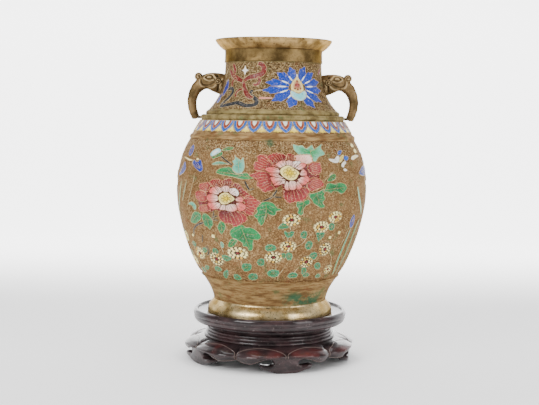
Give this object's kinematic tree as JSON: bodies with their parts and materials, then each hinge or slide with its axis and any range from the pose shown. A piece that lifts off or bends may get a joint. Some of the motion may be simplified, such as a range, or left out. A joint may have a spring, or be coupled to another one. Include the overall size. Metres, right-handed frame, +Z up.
{
  "type": "footed vase on a carved stand",
  "caption": "Baluster vase of bronze with coloured enamel flowers, a flared mouth and two beast-head handles, standing in the tray of a lobed dark hardwood stand.",
  "frame": {"origin": "centre of the stand's footprint at floor level, under the vase's axis", "axes": "+Z up along the vase's axis, front of the vase faces -Y, handles at +X and -X"},
  "size_m": [0.2118, 0.2124, 0.353],
  "materials": {
    "rosewood": "polished dark hardwood",
    "key_wood": "plain hardwood keys and dowels",
    "bronze": "cast bronze, ground left matt and stippled",
    "polished_bronze": "bright worn bronze",
    "enamel_blue": "fused glass enamel, satin",
    "enamel_red": "fused glass enamel, satin",
    "enamel_white": "fused glass enamel, satin",
    "enamel_cream": "fused glass enamel, satin",
    "enamel_pink": "fused glass enamel, satin",
    "enamel_green": "fused glass enamel, satin",
    "enamel_turquoise": "fused glass enamel, satin",
    "enamel_slate": "fused glass enamel, satin"
  },
  "bodies": {
    "stand": {"tray_ring": "rosewood", "tray_panel": "rosewood", "waist_ring": "rosewood", "skirt_segment_1": "rosewood", "skirt_segment_2": "rosewood", "skirt_segment_3": "rosewood", "skirt_segment_4": "rosewood", "skirt_segment_5": "rosewood", "mitre_keys": "key_wood", "waist_dowels": "key_wood"},
    "vase": {"foot_ring": "polished_bronze", "base_plate": "bronze", "vase_body": "bronze", "neck_casting": "bronze", "mouth_ring": "polished_bronze", "handle_left": "bronze", "handle_right": "bronze", "handle_rivets": "polished_bronze", "handle_tip_pins": "polished_bronze", "lappets_blue": "enamel_blue", "lappets_red": "enamel_red", "lappets_white": "enamel_white", "lappets_cream": "enamel_cream", "peony_outer_petals": "enamel_red", "peony_inner_petals": "enamel_pink", "peony_centres": "enamel_cream", "peony_leaves": "enamel_green", "branches": "enamel_slate", "chrysanthemum_heads": "enamel_cream", "chrysanthemum_leaves": "enamel_turquoise", "flower_buds": "enamel_white", "iris_petals": "enamel_blue", "iris_leaves": "enamel_green", "butterfly_wings": "enamel_white", "butterfly_bodies": "enamel_cream", "lotus_petals": "enamel_blue", "lotus_hearts": "enamel_pink", "lotus_cups": "enamel_turquoise", "scrolls_red": "enamel_red", "scrolls_dark": "enamel_slate", "neck_diamonds": "enamel_white"}
  },
  "joints": [
    {"name": "vase_lift", "type": "slide", "parent": "stand", "child": "vase", "axis": [0, 0, 1], "range_m": [0, 0.06]}
  ]
}
